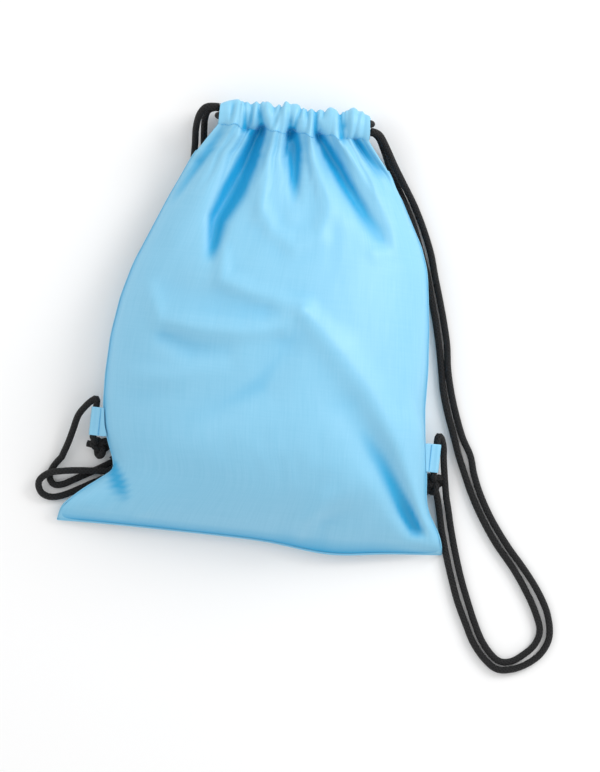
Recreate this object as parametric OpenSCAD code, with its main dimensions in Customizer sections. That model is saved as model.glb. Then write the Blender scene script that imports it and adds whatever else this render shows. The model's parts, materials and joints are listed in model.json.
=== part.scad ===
// Drawstring backpack in light woven nylon, lying on its back on a flat surface.
// +Z is up, away from the surface. +Y runs from the bottom seam to the gathered mouth.
// +X is to the right when the bag is seen from above. Millimetres.

/* [Bag] */
// Length from the bottom seam to the top of the gathered mouth
bag_l = 380; // [320:1:460]
// Width across the two bottom corners
corner_w = 344; // [310:1:400]
// Width across the stuffed belly
belly_w = 278; // [240:1:300]
// Width across the front and back panels where they reach the channels
mouth_w = 130; // [120:1:160]
// Height of the stuffed bag above the surface
belly_h = 95; // [70:1:120]
// Height of the side seams above the surface
seam_h = 28; // [24:1:34]
// Sideways lean of the stuffing above the bottom corners
lean = 8; // [0:1:12]
// Thickness of the doubled panel cloth, with its coating and folds
panel_t = 1.2; // [0.8:0.1:2]

/* [Mouth] */
// Width of each drawcord channel, from its stitching to the top of the ruffle
channel_w = 22; // [20:1:30]
// Thickness of each gathered channel
channel_t = 15; // [13:0.5:18]
// Open gap between the front and the back channel
mouth_gap = 11; // [6:0.5:20]
// Length of the gathered channels
channel_l = 128; // [110:1:130]

/* [Cords] */
// Diameter of the braided drawcord
cord_d = 6; // [5:0.1:6.2]
// Distance between the two cords inside a channel
cord_pitch = 7; // [7:0.1:8]
// Room round the cords inside a channel or a tab
cord_clear = 0.3; // [0.2:0.05:0.5]

/* [Tabs] */
// Length of a loop tab along the side seam
tab_l = 25; // [20:1:28]
// Flat part of a loop tab between the seam and its tunnel
tab_web = 6.6; // [4:0.2:10]
// Thickness of the tab's cloth
tab_t = 1.4; // [1:0.1:2]
// Angle by which a tab hangs below the horizontal at rest
tab_droop = 50; // [30:1:60]
// Distance of the tabs from the bottom seam
tab_up = 89; // [80:1:100]
// Overall size of a strap knot
knot_d = 18; // [15:0.5:18]

/* [Hidden] */

seam_t = 0.8;          // thickness of the closed seam ridge
seam_out = 1.8;        // how far the seam ridge stands outside the panels
seam_gap = 0.1;        // gap between the seam ridge and the panels
seam_end_h = 12;       // height of the bottom seam above the surface
channel_step = 2;      // gap between a panel's top edge and its channel
run_over = 2;          // how far the cords stand out of the channels' ends
cut_gap = 0.6;         // gap between the lengths that one cord is modelled in
y_bottom = -bag_l / 2 + seam_out;
y_channel = bag_l / 2 - channel_w / 2;
y_top = bag_l / 2 - channel_w - channel_step;
z_back = seam_h - mouth_gap / 2 - channel_t / 2 + 1;
z_front = z_back + channel_t + mouth_gap;
z_mid = (z_back + z_front) / 2;
turn_r = 0.38 * (z_front - z_back);  // bend radius of a cord where it turns from one channel to the other
run_l = channel_l + 2 * run_over;
y_right_cord = y_channel - cord_pitch / 2;
y_left_cord = y_channel + cord_pitch / 2;
tab_y = -bag_l / 2 + tab_up;
tunnel_r = cord_d / 2 + cord_clear;
across = 26;           // facets across a panel
along = 30;            // facets along a panel
round_facets = 48;
cord_sides = 10;

function clamp(v) = min(1, max(0, v));
function mix(a, b, s) = a + (b - a) * s;

// Shape of the stuffed bag: all heights and widths follow the distance along the bag
function lean_x(y) =
  let (s = (y - y_bottom) / 120) s > 1 || s < 0 ? 0 : lean * pow(sin(180 * s), 2);
function upper_share(y) = sin(90 * clamp((y_top - y) / (0.55 * bag_l)));
function flare_share(y) = pow(clamp((y_bottom + 48 - y) / 48), 1.1);
function half_w(y) = mix(mouth_w / 2, belly_w / 2, upper_share(y))
  + (corner_w - belly_w) / 2 * flare_share(y) - seam_out * flare_share(y);
function seam_z(y) = mix(seam_end_h, seam_h, sin(90 * clamp((y - y_bottom) / 80)));
function base_z(y) = (seam_end_h - panel_t - 0.3) * pow(1 - clamp((y - y_bottom) / 45), 2)
  + (z_back - 2) * pow(clamp((y - y_top + 64) / 64), 2);
function top_z(y) = let (b = pow(sin(90 * clamp((y - y_bottom) / 95)), 0.75),
                         m = pow(clamp((y + 10) / (y_top + 10)), 1.5))
  seam_z(y) + panel_t + 0.3 + (mix(belly_h, z_front + 1, m) - seam_h - panel_t - 0.3) * b;
function crown(u) = pow(max(0, 1 - pow(abs(u), 2.2)), 0.7);
function under(u) = pow(clamp((abs(u) - 0.4) / 0.6), 1.6);

function panel_point(side, y, u, inset) =
  let (x = lean_x(y) + (half_w(y) - inset) * u, z0 = seam_z(y))
  side > 0
    ? [x, y, z0 + seam_t / 2 + seam_gap + (top_z(y) - z0 - inset) * crown(u)]
    : [x, y, mix(base_z(y) + inset, z0 - seam_t / 2 - seam_gap, under(u))];

// Two grids of points, outer then inner, closed all round into one thin shell
module panel(side) {
  ys = [for (i = [0:along]) mix(y_bottom, y_top, pow(i / along, 1.25))];
  us = [for (j = [0:across]) sin(90 * (2 * j / across - 1))];
  points = [for (inset = [0, panel_t], y = ys, u = us) panel_point(side, y, u, inset)];
  row = across + 1;
  inner = row * (along + 1);
  skin = [for (i = [0:along - 1], j = [0:across - 1], k = [0, 1])
    let (a = i * row + j, b = a + 1, d = a + row, c = d + 1) k == 0 ? [a, d, c] : [a, c, b]];
  lining = [for (f = skin) [f[0] + inner, f[2] + inner, f[1] + inner]];
  ends = [for (j = [0:across - 1], s = [0, 1])
    let (a = s * along * row + j, b = a + 1) s == 0 ? [a, b, b + inner, a + inner] : [b, a, a + inner, b + inner]];
  sides = [for (i = [0:along - 1], s = [0, 1])
    let (a = i * row + s * across, d = a + row) s == 0 ? [d, a, a + inner, d + inner] : [a, d, d + inner, a + inner]];
  walls = [for (q = concat(ends, sides), k = [0, 1]) k == 0 ? [q[0], q[1], q[2]] : [q[0], q[2], q[3]]];
  faces = concat(skin, lining, walls);
  polyhedron(points, side > 0 ? faces : [for (f = faces) [f[0], f[2], f[1]]], convexity = 10);
}

// Joins rings of equal length into one closed solid
module loft(rings) {
  n = len(rings[0]);
  m = len(rings);
  points = [for (r = rings, p = r) p];
  walls = [for (i = [0:m - 2], j = [0:n - 1], k = [0, 1])
    let (a = i * n + j, b = i * n + (j + 1) % n) k == 0 ? [a, b, b + n] : [a, b + n, a + n]];
  caps = [[for (j = [n - 1:-1:0]) j], [for (j = [0:n - 1]) (m - 1) * n + j]];
  polyhedron(points, concat(walls, caps), convexity = 10);
}

// A smooth curve through every point of a route
function smooth_at(p, i, s) =
  let (n = len(p) - 1, a = p[max(0, i - 1)], b = p[i], c = p[i + 1], d = p[min(n, i + 2)])
  0.5 * (2 * b + (c - a) * s + (2 * a - 5 * b + 4 * c - d) * s * s + (3 * b - a - 3 * c + d) * s * s * s);
function smooth(p, steps) =
  [for (i = [0:len(p) - 2], k = [0:steps - 1]) smooth_at(p, i, k / steps), p[len(p) - 1]];
function unit(v) = v / norm(v);

// A cord of round section along a route
module cord(route, steps) {
  line = smooth(route, steps);
  last = len(line) - 1;
  loft([for (i = [0:last])
    let (t = unit(line[min(last, i + 1)] - line[max(0, i - 1)]),
         side = unit(cross(t, [0, 0, 1])),
         up = cross(side, t))
    [for (k = [0:cord_sides - 1])
      let (w = 360 * (k + 0.5) / cord_sides, r = cord_d / 2)
      line[i] + r * cos(w) * up + r * sin(w) * side]]);
}

// Routes of the free strap cords, from the channel's end to the tab
half_run = run_l / 2;
right_front_route = [
  [half_run + cut_gap, y_right_cord, z_front], [half_run + 4, y_right_cord - 0.2, z_front - 0.3],
  [75.5, 172.5, 38.5], [82, 163.5, 30], [91, 149, 18], [101, 134, 9], [112, 117, 3.9], [122, 98, 3.1], [131, 77, 3.1],
  [137, 57, 3.1], [143, 38, 3.1], [149, 18, 3.1], [154, -2, 3.1], [157, -22, 3.1], [162, -42, 3.1],
  [168, -60, 3.1], [176, -80, 3.1], [185, -96, 3.1], [190, -112, 3.1], [198, -130, 3.1], [210, -150, 3.1],
  [226, -171, 3.1], [243, -190, 3.1], [257, -208, 3.1], [267, -226, 3.1], [271, -245, 3.1], [266, -260, 3.1],
  [255, -271, 3.1], [241, -278, 3.1], [228, -279, 3.1], [216, -271, 3.1], [205, -258, 3.1], [197, -243, 3.1],
  [188, -225, 3.1], [181, -207, 3.1], [175, -190, 3.1], [170, -174, 3.1], [166, -160, 3.3], [163, -147, 4.4],
  [160, -135.5, 7]];
right_back_route = [
  [half_run + cut_gap, y_right_cord, z_back], [half_run + 4, y_right_cord - 0.2, z_back - 0.2],
  [75, 171.5, 13], [80, 162.5, 9], [86, 150, 5], [94, 135, 3.3], [103, 119, 3.1], [113, 100, 3.1], [122, 78, 3.1],
  [130, 57, 3.1], [136, 37, 3.1], [142, 17, 3.1], [147, -3, 3.1], [151, -22, 3.1], [155, -42, 3.1],
  [161, -61, 3.1], [168, -79, 3.1], [174, -95, 3.1], [181, -111, 3.1], [190, -130, 3.1], [201, -149, 3.1],
  [215, -169, 3.1], [233, -190, 3.1], [246, -208, 3.1], [256, -225, 3.1], [262, -241, 3.1], [259, -254, 3.1],
  [250, -264, 3.1], [240, -271, 3.1], [230, -272, 3.1], [221, -266, 3.1], [212, -255, 3.1], [204, -240, 3.1],
  [196, -222, 3.1], [189, -205, 3.1], [183, -188, 3.1], [178, -172, 3.1], [174, -158, 3.3], [171, -146, 4.2],
  [168, -135.5, 6]];
left_front_route = [
  [-half_run - cut_gap, y_left_cord, z_front], [-half_run - 5, y_left_cord, z_front - 0.4],
  [-78, 181, 40], [-83, 174, 35], [-85, 162, 26], [-84.5, 148, 16], [-85, 129, 7.2], [-89, 108, 3.6], [-98, 87, 3.1],
  [-109, 69, 3.1], [-117, 53, 3.1], [-119, 35, 3.1], [-112, 18, 3.1], [-104, 2, 3.1], [-103, -14, 3.1],
  [-112, -30, 3.1], [-122, -44, 3.1], [-124, -62, 3.1], [-116, -78, 3.1], [-107, -93, 3.1], [-107, -112, 3.1],
  [-117, -128, 3.1], [-131, -138, 3.1], [-146, -147, 3.1], [-158, -154, 3.1], [-168, -159.5, 3.2],
  [-176, -160, 3.5], [-180, -153, 4], [-177, -144, 4.8], [-171, -135.5, 6.5]];
left_back_route = [
  [-half_run - cut_gap, y_left_cord, z_back], [-half_run - 5, y_left_cord, z_back - 0.2],
  [-76.5, 179.5, 14], [-78.5, 172, 11.5], [-78, 160, 8.5], [-76.5, 144, 5], [-76, 127, 3.3], [-78, 111, 3.1],
  [-84, 96, 3.1], [-93, 80, 3.1],
  [-102, 64, 3.1], [-109, 50, 3.1], [-111, 36, 3.1], [-104, 21, 3.1], [-96.5, 4, 3.1], [-95, -14, 3.1],
  [-105, -34, 3.1], [-114, -48, 3.1], [-116, -61, 3.1], [-109, -73, 3.1], [-99.5, -90, 3.1], [-99, -113, 3.1],
  [-110, -134, 3.1], [-127, -147, 3.1], [-143, -156, 3.1], [-156, -163.5, 3.1], [-168, -169.5, 3.2],
  [-178, -171.5, 3.6], [-186, -168, 5.4], [-188.5, -159, 8.6], [-181, -151, 11.4], [-168, -147.5, 12.4],
  [-154, -145.5, 11], [-141, -144.5, 10.4], [-130, -143.5, 10.4], [-123, -140.5, 10.2], [-121.5, -135, 9.8],
  [-127.5, -129.5, 9.5]];

// Where the tabs hang: the hinge line touches the outer edge of each side seam
function seam_edge(side, y) = side * lean_x(y) + half_w(y) + seam_out;
function hinge_x(side) =
  side * max([for (k = [-5:5]) seam_edge(side, tab_y + k / 10 * tab_l)]);
hinge_z = seam_z(tab_y);
function tunnel_x(side) = hinge_x(side) + side * (tab_web + tunnel_r) * cos(tab_droop);
tunnel_z = hinge_z - (tab_web + tunnel_r) * sin(tab_droop);
knot_z = knot_d / 2 + 0.4;
knot_y = tab_y - tab_l / 2 - knot_d / 2 - 0.4;
right_turn_route = [
  [167.6, -134.5, 6.4], [165.6, -124, 9], [163.4, -112, 11], [161.6, -101, 12], [160.4, -91, 13.4],
  [157.6, -83, 16.8], [tunnel_x(1) + 0.8, tab_y + tab_l / 2 + 7, tunnel_z - 0.4],
  [tunnel_x(1), tab_y + tab_l / 2 + 4, tunnel_z], [tunnel_x(1), tab_y + tab_l / 2 + 1, tunnel_z],
  [tunnel_x(1), tab_y, tunnel_z], [tunnel_x(1), tab_y - tab_l / 2 + 0.5, tunnel_z],
  [tunnel_x(1), tab_y - tab_l / 2 - 1.5, tunnel_z], [tunnel_x(1) + 0.6, knot_y + 4, knot_z + 4]];
left_turn_route = [
  [-169.6, -134.5, 7], [-165.6, -122, 9], [-163.4, -110, 11], [-160.4, -98, 13.4], [-155, -89.5, 16.6],
  [-149, -83, 19.4], [tunnel_x(-1) - 0.6, tab_y + tab_l / 2 + 7, tunnel_z + 0.3],
  [tunnel_x(-1), tab_y + tab_l / 2 + 4, tunnel_z], [tunnel_x(-1), tab_y + tab_l / 2 + 1, tunnel_z],
  [tunnel_x(-1), tab_y, tunnel_z], [tunnel_x(-1), tab_y - tab_l / 2 + 0.5, tunnel_z],
  [tunnel_x(-1), tab_y - tab_l / 2 - 1.5, tunnel_z], [tunnel_x(-1) + 2.6, knot_y + 4, knot_z + 4]];

module back_panel() { color([0.36, 0.72, 0.92]) panel(-1); }

module front_panel() { color([0.49, 0.80, 0.95]) panel(1); }

// Closed ridge of a side seam, between the two panels
module side_seam(side) {
  color([0.30, 0.64, 0.86])
    loft([for (i = [0:along])
      let (y = mix(y_bottom, y_top, i / along),
           x0 = lean_x(y) + side * (half_w(y) - panel_t),
           x1 = lean_x(y) + side * (half_w(y) + seam_out),
           z0 = seam_z(y) - seam_t / 2, z1 = z0 + seam_t,
           a = min(x0, x1), b = max(x0, x1))
      [[a, y, z0], [a, y, z1], [b, y, z1], [b, y, z0]]]);
}

module bottom_seam() {
  width = 2 * (half_w(y_bottom) + seam_out);
  tall = 2 * panel_t + seam_t;
  color([0.20, 0.52, 0.76])
    translate([-width / 2, -bag_l / 2, seam_end_h - tall / 2])
      cube([width, seam_out - seam_gap, tall]);
}

module stadium(long, wide) {
  square([long - wide, wide], center = true);
  for (s = [-1, 1]) translate([s * (long - wide) / 2, 0]) circle(d = wide, $fn = round_facets);
}

// Gathered tube of cloth round two cords
module channel(z) {
  color([0.43, 0.77, 0.94])
    translate([-channel_l / 2, y_channel, z])
      rotate([90, 0, 90])
        linear_extrude(channel_l) difference() {
          stadium(channel_w, channel_t);
          stadium(cord_pitch + cord_d + 2 * cord_clear, cord_d + 2 * cord_clear);
        }
}

// Row of lock stitches below a channel
module channel_stitching(z) {
  stitch = [2.4, 0.8, 0.5];
  pitch = 4;
  count = floor(channel_l / pitch);
  color([0.30, 0.62, 0.84])
    for (i = [0:count - 1])
      translate([(i - (count - 1) / 2) * pitch - stitch[0] / 2, y_channel - channel_w / 2 + cord_d, z])
        cube(stitch);
}

// One cord inside a channel
module cord_run(y, z) {
  color([0.1, 0.1, 0.1])
    translate([-half_run, y, z])
      rotate([0, 90, 0]) cylinder(d = cord_d, h = run_l, $fn = round_facets);
}

// Turn that takes a cord from the back channel round to the front one: two bends and a straight rise
module cord_turn(side, y) {
  rise = z_front - z_back - 2 * turn_r;
  color([0.1, 0.1, 0.1])
    translate([side * half_run, y, 0]) {
      for (end = [-1, 1])
        translate([0, 0, z_mid + end * rise / 2])
          mirror([side > 0 ? 0 : 1, 0, 0]) mirror([0, 0, end > 0 ? 0 : 1])
            rotate([90, 0, 0])
              rotate_extrude(angle = 90, $fn = round_facets)
                translate([turn_r, 0]) circle(d = cord_d, $fn = round_facets);
      translate([side * turn_r, 0, z_mid - rise / 2])
        cylinder(d = cord_d, h = rise, $fn = round_facets);
    }
}

module loop_tab(side) {
  start = 0.7;
  color([0.38, 0.74, 0.93])
    translate([hinge_x(side), tab_y + tab_l / 2, hinge_z])
      rotate([90, side * tab_droop, 0])
        linear_extrude(tab_l) difference() {
          union() {
            translate([side > 0 ? start : -tab_web - tunnel_r, -tab_t / 2])
              square([tab_web + tunnel_r - start, tab_t]);
            translate([side * (tab_web + tunnel_r), 0]) circle(r = tunnel_r + tab_t, $fn = round_facets);
          }
          translate([side * (tab_web + tunnel_r), 0]) circle(r = tunnel_r, $fn = round_facets);
        }
}

// Dense stitching across the tab, close to the seam
module tab_bartack(side) {
  tack = [1.2, tab_l - 1, 0.5];
  from_seam = 1.4;
  color([0.30, 0.62, 0.84])
    translate([hinge_x(side), tab_y, hinge_z])
      rotate([0, side * tab_droop, 0])
        translate([side * (from_seam + tack[0] / 2) - tack[0] / 2, -tack[1] / 2, tab_t / 2])
          cube(tack);
}

// Knot that ties both cord ends of a strap below the tab
module knot(side) {
  lobe = knot_d / 2 - 3;
  reach = knot_d / 2 - lobe;
  x = tunnel_x(side) + (side > 0 ? 1 : 7);
  color([0.12, 0.12, 0.12])
    translate([x, knot_y, knot_z]) hull() {
      for (w = [45:90:315])
        translate([reach * cos(w), reach * sin(w), 0]) sphere(r = lobe, $fn = 20);
      for (s = [-1, 1]) translate([0, 0, s * reach]) sphere(r = lobe, $fn = 20);
    }
}

module cord_tail(at, dir, l) {
  translate(at) rotate([0, 0, dir]) rotate([0, 90, 0]) cylinder(d = cord_d, h = l, $fn = round_facets);
}

module cord_tails(side) {
  tail_l = knot_d / 2 + 5;
  x = tunnel_x(side) + (side > 0 ? 1 : 7);
  color([0.1, 0.1, 0.1])
    if (side > 0) {
      cord_tail([x, knot_y, knot_z], 236, tail_l);
    } else {
      cord_tail([x, knot_y, knot_z], 172, tail_l - 2);
    }
}

back_panel();
front_panel();
side_seam(-1);  // left_side_seam
side_seam(1);  // right_side_seam
bottom_seam();
channel(z_back);  // back_channel
channel(z_front);  // front_channel
channel_stitching(z_back - channel_t / 2 - 0.5);  // back_channel_stitching
channel_stitching(z_front + channel_t / 2);  // front_channel_stitching
union() {  // left_drawcord_back_run
  cord_run(y_left_cord, z_back);
  cord_turn(1, y_left_cord);
}
union() {  // right_drawcord_back_run
  cord_run(y_right_cord, z_back);
  cord_turn(-1, y_right_cord);
}
cord_run(y_left_cord, z_front);  // left_drawcord_front_run
cord_run(y_right_cord, z_front);  // right_drawcord_front_run
color([0.1, 0.1, 0.1]) cord(left_front_route, 2);  // left_strap_front_strand
color([0.1, 0.1, 0.1]) cord(left_back_route, 2);  // left_strap_back_strand
color([0.1, 0.1, 0.1]) cord(right_front_route, 2);  // right_strap_front_strand
color([0.1, 0.1, 0.1]) cord(right_back_route, 2);  // right_strap_back_strand
loop_tab(-1);  // left_loop_tab
loop_tab(1);  // right_loop_tab
tab_bartack(-1);  // left_tab_bartack
tab_bartack(1);  // right_tab_bartack
color([0.1, 0.1, 0.1]) cord(left_turn_route, 3);  // left_tab_cord_turn
color([0.1, 0.1, 0.1]) cord(right_turn_route, 3);  // right_tab_cord_turn
knot(-1);  // left_knot
knot(1);  // right_knot
cord_tails(-1);  // left_cord_tails
cord_tails(1);  // right_cord_tails
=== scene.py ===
# %% [markdown]
# A drawstring backpack, lying on its back
# The bag is two panels of light coated nylon, sewn together down both sides and along the bottom. The top of
# each panel is folded over and stitched down, which makes a channel. Two braided cords run through both
# channels, pull the mouth into ruffles, and come out at the ends as a pair of shoulder straps. Each strap is
# tied round a small loop tab in the side seam. Everything here is placed from the frame that the CAD gives.

# %% Load the frame
import json
import math

import bmesh
import bpy
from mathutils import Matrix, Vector


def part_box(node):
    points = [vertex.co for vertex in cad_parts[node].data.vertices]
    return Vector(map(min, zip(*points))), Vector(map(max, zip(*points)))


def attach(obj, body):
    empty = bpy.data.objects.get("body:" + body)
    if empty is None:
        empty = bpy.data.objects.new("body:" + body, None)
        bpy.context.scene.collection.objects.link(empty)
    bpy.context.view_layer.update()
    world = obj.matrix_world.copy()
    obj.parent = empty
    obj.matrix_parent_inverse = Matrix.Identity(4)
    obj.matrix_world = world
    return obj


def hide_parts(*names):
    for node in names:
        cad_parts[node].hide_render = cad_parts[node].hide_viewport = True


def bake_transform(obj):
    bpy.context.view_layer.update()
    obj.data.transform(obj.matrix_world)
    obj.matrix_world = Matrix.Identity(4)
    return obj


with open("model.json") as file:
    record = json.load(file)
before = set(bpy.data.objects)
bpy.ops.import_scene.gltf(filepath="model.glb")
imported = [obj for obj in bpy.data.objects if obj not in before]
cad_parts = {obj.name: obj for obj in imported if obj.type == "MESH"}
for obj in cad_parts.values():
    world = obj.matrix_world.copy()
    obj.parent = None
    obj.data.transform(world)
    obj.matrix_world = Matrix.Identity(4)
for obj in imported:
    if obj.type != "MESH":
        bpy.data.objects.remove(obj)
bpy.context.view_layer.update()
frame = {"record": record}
mm = 0.001


def clamp(v):
    return min(1.0, max(0.0, v))


def mix(a, b, s):
    return a + (b - a) * s


def ease(v):
    v = clamp(v)
    return v * v * (3 - 2 * v)


# %% [markdown]
# The camera
# The bag is seen from straight above and turned a few degrees, so the camera looks down the Z axis and is
# rolled about it. A long lens from far away keeps the sides of the bag parallel.

# %% Place the camera
camera_high = 4.0
seen_height = 0.6725
turned = math.radians(6.26)
look_at = Vector((0.0297, -0.0511, 0.03))
lens_data = bpy.data.cameras.new("camera")
lens_data.lens = lens_data.sensor_width * camera_high / seen_height
camera = bpy.data.objects.new("camera", lens_data)
bpy.context.scene.collection.objects.link(camera)
camera.location = look_at + Vector((0, 0, camera_high))
camera.rotation_euler = (0, 0, turned)
bpy.context.scene.camera = camera
print("lens", round(lens_data.lens), "mm")

# %% [markdown]
# The cords
# Each drawcord is a 6 mm braid. It is made as a mesh rather than a curve with a bevel: a ring of vertices is
# extruded along a smooth line through the same points that the CAD tube follows.

# %% Draw smooth lines and tubes
cord_d = 6 * mm
ring_step = 2.2 * mm
cord_sides = 14


def smooth_line(points, step=ring_step):
    """Points about one step apart on a smooth curve through every given point (Catmull-Rom)."""
    p = [Vector(q) for q in points]
    line = []
    for i in range(len(p) - 1):
        a, b, c, d = p[max(0, i - 1)], p[i], p[i + 1], p[min(len(p) - 1, i + 2)]
        count = max(2, round((c - b).length / step))
        for k in range(count):
            s = k / count
            line.append(0.5 * (2 * b + (c - a) * s + (2 * a - 5 * b + 4 * c - d) * s * s
                               + (3 * b - a - 3 * c + d) * s ** 3))
    return line + [p[-1]]


def line_length(line):
    return sum((b - a).length for a, b in zip(line, line[1:]))


def link_mesh(name, bm):
    """Writes a bmesh to a new smooth-shaded object at the origin."""
    mesh = bpy.data.meshes.new(name)
    bm.to_mesh(mesh)
    bm.free()
    for face in mesh.polygons:
        face.use_smooth = True
    piece = bpy.data.objects.new(name, mesh)
    bpy.context.scene.collection.objects.link(piece)
    return piece


def tube(name, line, radius=cord_d / 2, sides=cord_sides, closed_ends=True, before=None, after=None):
    """A round tube along a line, with U round it and V along it in metres. It meets points before and after it."""
    bm = bmesh.new()
    uv = bm.loops.layers.uv.new("UVMap")
    ring = bmesh.ops.create_circle(bm, segments=sides, radius=radius, cap_ends=False)["verts"]
    edges = list(bm.edges)
    at, last = 0.0, len(line) - 1
    ahead, behind = line[1:] + [after or line[-1]], [before or line[0]] + line[:-1]
    place = {}
    rows = []
    for i in range(last + 1):
        if i:
            made = bmesh.ops.extrude_edge_only(bm, edges=edges)["geom"]
            new = [g for g in made if isinstance(g, bmesh.types.BMVert)]
            edges = [g for g in made if isinstance(g, bmesh.types.BMEdge)
                     and g.verts[0] in new and g.verts[1] in new]
            linked = {v: next(e.other_vert(v) for e in v.link_edges if e.other_vert(v) in ring) for v in new}
            back = {old: v for v, old in linked.items()}
            ring = [back[v] for v in ring]
            at += (line[i] - line[i - 1]).length
        along = ((ahead[i] - line[i]).normalized() + (line[i] - behind[i]).normalized()).normalized()
        level = along.cross(Vector((0, 0, 1)))
        if i == 0:
            side = level.normalized()
        elif level.length > 0.05:
            side = level.normalized() * (1 if level.dot(side) > 0 else -1)
        up = side.cross(along).normalized()
        for k, v in enumerate(ring):
            w = 2 * math.pi * k / sides
            v.co = line[i] + radius * (math.cos(w) * up + math.sin(w) * side)
            place[v] = (k, at)
        rows.append(ring)
    for face in bm.faces:
        ks = [place[v][0] for v in face.verts]
        wraps = max(ks) - min(ks) > sides / 2
        for loop in face.loops:
            k, v_at = place[loop.vert]
            loop[uv].uv = ((k + (sides if wraps and k == 0 else 0)) / sides, v_at)
    if closed_ends:
        bmesh.ops.contextual_create(bm, geom=rows[0])
        bmesh.ops.contextual_create(bm, geom=rows[-1])
    bmesh.ops.recalc_face_normals(bm, faces=bm.faces)
    return link_mesh(name, bm)


# %% [markdown]
# The strap cords
# Each drawcord leaves the channel at one end as two strands, a front one and a back one. They fall to the
# surface, run down beside the bag, make a loop and come back to a tab. The cords are listed as round points in
# millimetres, the same ones that the CAD tubes go through. A strand is modelled in two lengths, an upper one
# from the mouth and a lower one on to its tab.

# %% Lay the strap cords
front_run, back_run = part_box("front_channel"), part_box("back_channel")
z_front = (front_run[0][2] + front_run[1][2]) / 2 / mm
z_back = (back_run[0][2] + back_run[1][2]) / 2 / mm
y_channel = (front_run[0][1] + front_run[1][1]) / 2 / mm
half_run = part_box("right_drawcord_front_run")[1][0] / mm
cord_pitch, cut_gap = 7.0, 0.6
y_right_cord, y_left_cord = y_channel - cord_pitch / 2, y_channel + cord_pitch / 2
end_x = half_run + cut_gap

right_front_upper = [
    (end_x, y_right_cord, z_front), (half_run + 4, y_right_cord - 0.2, z_front - 0.3), (75.5, 172.5, 38.5),
    (82, 163.5, 30), (91, 149, 18), (101, 134, 9), (112, 117, 3.9), (122, 98, 3.1), (131, 77, 3.1),
    (137, 57, 3.1), (143, 38, 3.1), (149, 18, 3.1), (154, -2, 3.1), (157, -22, 3.1), (162, -42, 3.1),
    (168, -60, 3.1), (176, -80, 3.1), (185, -96, 3.1), (190, -112, 3.1), (198, -130, 3.1), (210, -150, 3.1),
    (226, -171, 3.1), (243, -190, 3.1), (257, -208, 3.1), (267, -226, 3.1), (271, -245, 3.1)]
right_front_lower = [
    (271, -245, 3.1), (266, -260, 3.1), (255, -271, 3.1), (241, -278, 3.1), (228, -279, 3.1),
    (216, -271, 3.1), (205, -258, 3.1), (197, -243, 3.1), (188, -225, 3.1), (181, -207, 3.1),
    (175, -190, 3.1), (170, -174, 3.1), (166, -160, 3.3), (163, -147, 4.4), (160, -135.5, 7),
    (157.5, -129, 8.8)]
right_back_upper = [
    (end_x, y_right_cord, z_back), (half_run + 4, y_right_cord - 0.2, z_back - 0.2), (75, 171.5, 13),
    (80, 162.5, 9), (86, 150, 5), (94, 135, 3.3), (103, 119, 3.1), (113, 100, 3.1), (122, 78, 3.1),
    (130, 57, 3.1), (136, 37, 3.1), (142, 17, 3.1), (147, -3, 3.1), (151, -22, 3.1), (155, -42, 3.1),
    (161, -61, 3.1), (168, -79, 3.1), (174, -95, 3.1), (181, -111, 3.1), (190, -130, 3.1), (201, -149, 3.1),
    (215, -169, 3.1), (233, -190, 3.1), (246, -208, 3.1), (256, -225, 3.1), (262, -241, 3.1)]
right_back_lower = [
    (262, -241, 3.1), (259, -254, 3.1), (250, -264, 3.1), (240, -271, 3.1), (230, -272, 3.1),
    (221, -266, 3.1), (212, -255, 3.1), (204, -240, 3.1), (196, -222, 3.1), (189, -205, 3.1),
    (183, -188, 3.1), (178, -172, 3.1), (174, -158, 3.3), (171, -146, 4.2), (168, -135.5, 6)]
left_front_upper = [
    (-end_x, y_left_cord, z_front), (-half_run - 5, y_left_cord, z_front - 0.4), (-78, 181, 40),
    (-83, 174, 35), (-85, 162, 26), (-84.5, 148, 16), (-85, 129, 7.2), (-89, 108, 3.6), (-98, 87, 3.1),
    (-109, 69, 3.1), (-117, 53, 3.1), (-119, 35, 3.1), (-112, 18, 3.1), (-104, 2, 3.1), (-103, -14, 3.1),
    (-112, -30, 3.1), (-122, -44, 3.1), (-124, -62, 3.1), (-116, -78, 3.1), (-107, -93, 3.1),
    (-107, -112, 3.1), (-117, -128, 3.1), (-131, -138, 3.1), (-146, -147, 3.1), (-158, -154, 3.1)]
left_front_lower = [
    (-158, -154, 3.1), (-168, -159.5, 3.2), (-176, -160, 3.5), (-180, -153, 4), (-177, -144, 4.8), (-171, -135.5, 6.5)]
left_back_upper = [
    (-end_x, y_left_cord, z_back), (-half_run - 5, y_left_cord, z_back - 0.2), (-76.5, 179.5, 14),
    (-78.5, 172, 11.5), (-78, 160, 8.5), (-76.5, 144, 5), (-76, 127, 3.3), (-78, 111, 3.1), (-84, 96, 3.1),
    (-93, 80, 3.1), (-102, 64, 3.1), (-109, 50, 3.1), (-111, 36, 3.1), (-104, 21, 3.1), (-96.5, 4, 3.1),
    (-95, -14, 3.1), (-105, -34, 3.1), (-114, -48, 3.1), (-116, -61, 3.1), (-109, -73, 3.1),
    (-99.5, -90, 3.1), (-99, -113, 3.1), (-110, -134, 3.1), (-127, -147, 3.1), (-143, -156, 3.1),
    (-156, -163.5, 3.1), (-168, -169.5, 3.2), (-178, -171.5, 3.6)]
left_back_lower = [
    (-178, -171.5, 3.6), (-186, -168, 5.4), (-188.5, -159, 8.6), (-181, -151, 11.4), (-168, -147.5, 12.4),
    (-154, -145.5, 11), (-141, -144.5, 10.4), (-130, -143.5, 10.4), (-123, -140.5, 10.2), (-121.5, -135, 9.8),
    (-127.5, -129.5, 9.5)]

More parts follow.
